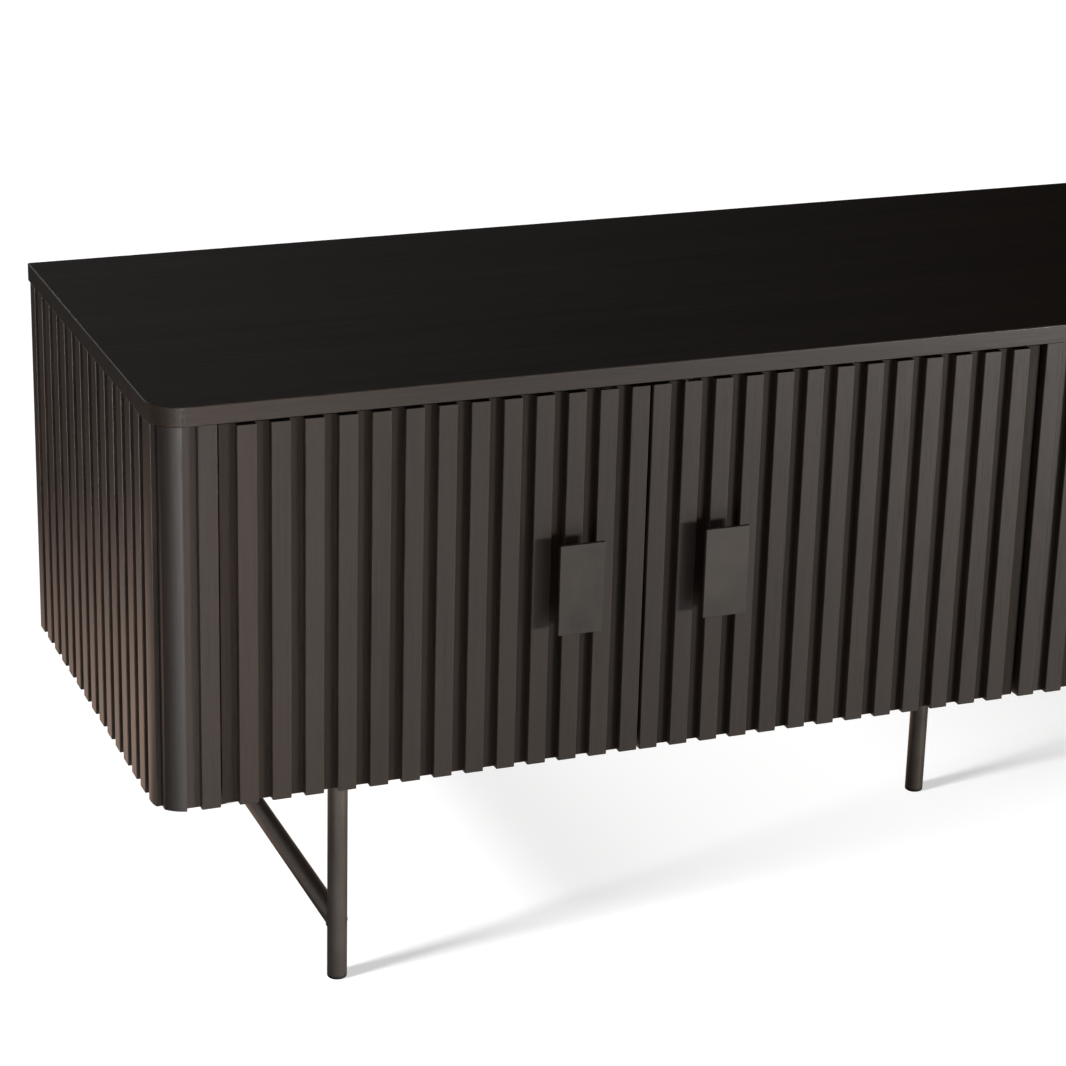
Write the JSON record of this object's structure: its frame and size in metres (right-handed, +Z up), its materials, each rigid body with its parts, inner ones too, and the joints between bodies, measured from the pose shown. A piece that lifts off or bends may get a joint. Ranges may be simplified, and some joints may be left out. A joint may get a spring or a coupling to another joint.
{
  "type": "sideboard",
  "caption": "Low dark-stained sideboard with fluted doors and sides, flat metal tab handles and a slim tube-leg base.",
  "frame": {"origin": "on the floor, under the centre of the overall bounding box, handles included", "axes": "+X along the front to the viewer's right, +Y from the doors to the back, +Z up"},
  "size_m": [1.8, 0.503, 0.596],
  "materials": {
    "stained_wood": "satin dark stain",
    "dark_metal": "satin dark coat",
    "hinge_steel": "zinc plated",
    "glide_plastic": "matte"
  },
  "bodies": {
    "cabinet": {"back_panel": "stained_wood", "back_screws": "hinge_steel", "bottom_panel": "stained_wood", "catch_magnets": "hinge_steel", "corner_post_left": "stained_wood", "corner_post_right": "stained_wood", "fixed_slats": "stained_wood", "foot_glides": "glide_plastic", "hinge_arms": "hinge_steel", "hinge_screws": "hinge_steel", "leg_centre": "dark_metal", "leg_front_left": "dark_metal", "leg_front_right": "dark_metal", "leg_plates": "dark_metal", "leg_rear_left": "dark_metal", "leg_rear_right": "dark_metal", "leg_screws": "hinge_steel", "partition": "stained_wood", "shelf_left": "stained_wood", "shelf_pins": "hinge_steel", "shelf_right": "stained_wood", "side_board_left": "stained_wood", "side_board_right": "stained_wood", "side_slats_left": "stained_wood", "side_slats_right": "stained_wood", "stile_board_centre": "stained_wood", "stile_board_left": "stained_wood", "stile_board_right": "stained_wood", "stretcher_left": "dark_metal", "stretcher_right": "dark_metal", "top_panel": "stained_wood"},
    "door_1": {"door_1_board": "stained_wood", "door_1_handle": "dark_metal", "door_1_handle_screws": "hinge_steel", "door_1_hinge_brackets": "hinge_steel", "door_1_hinge_pins": "hinge_steel", "door_1_slats": "stained_wood", "door_1_strike_plate": "hinge_steel"},
    "door_2": {"door_2_board": "stained_wood", "door_2_handle": "dark_metal", "door_2_handle_screws": "hinge_steel", "door_2_hinge_brackets": "hinge_steel", "door_2_hinge_pins": "hinge_steel", "door_2_slats": "stained_wood", "door_2_strike_plate": "hinge_steel"},
    "door_3": {"door_3_board": "stained_wood", "door_3_handle": "dark_metal", "door_3_handle_screws": "hinge_steel", "door_3_hinge_brackets": "hinge_steel", "door_3_hinge_pins": "hinge_steel", "door_3_slats": "stained_wood", "door_3_strike_plate": "hinge_steel"},
    "door_4": {"door_4_board": "stained_wood", "door_4_handle": "dark_metal", "door_4_handle_screws": "hinge_steel", "door_4_hinge_brackets": "hinge_steel", "door_4_hinge_pins": "hinge_steel", "door_4_slats": "stained_wood", "door_4_strike_plate": "hinge_steel"}
  },
  "joints": [
    {"name": "door_1_hinge", "type": "hinge", "parent": "cabinet", "child": "door_1", "pos_m": [-0.8275, -0.215, 0.3935], "axis": [0, 0, -1], "range_deg": [0, 90]},
    {"name": "door_2_hinge", "type": "hinge", "parent": "cabinet", "child": "door_2", "pos_m": [-0.0395, -0.215, 0.3935], "axis": [0, 0, 1], "range_deg": [0, 90]},
    {"name": "door_3_hinge", "type": "hinge", "parent": "cabinet", "child": "door_3", "pos_m": [0.0395, -0.215, 0.3935], "axis": [0, 0, -1], "range_deg": [0, 90]},
    {"name": "door_4_hinge", "type": "hinge", "parent": "cabinet", "child": "door_4", "pos_m": [0.8275, -0.215, 0.3935], "axis": [0, 0, 1], "range_deg": [0, 90]}
  ]
}
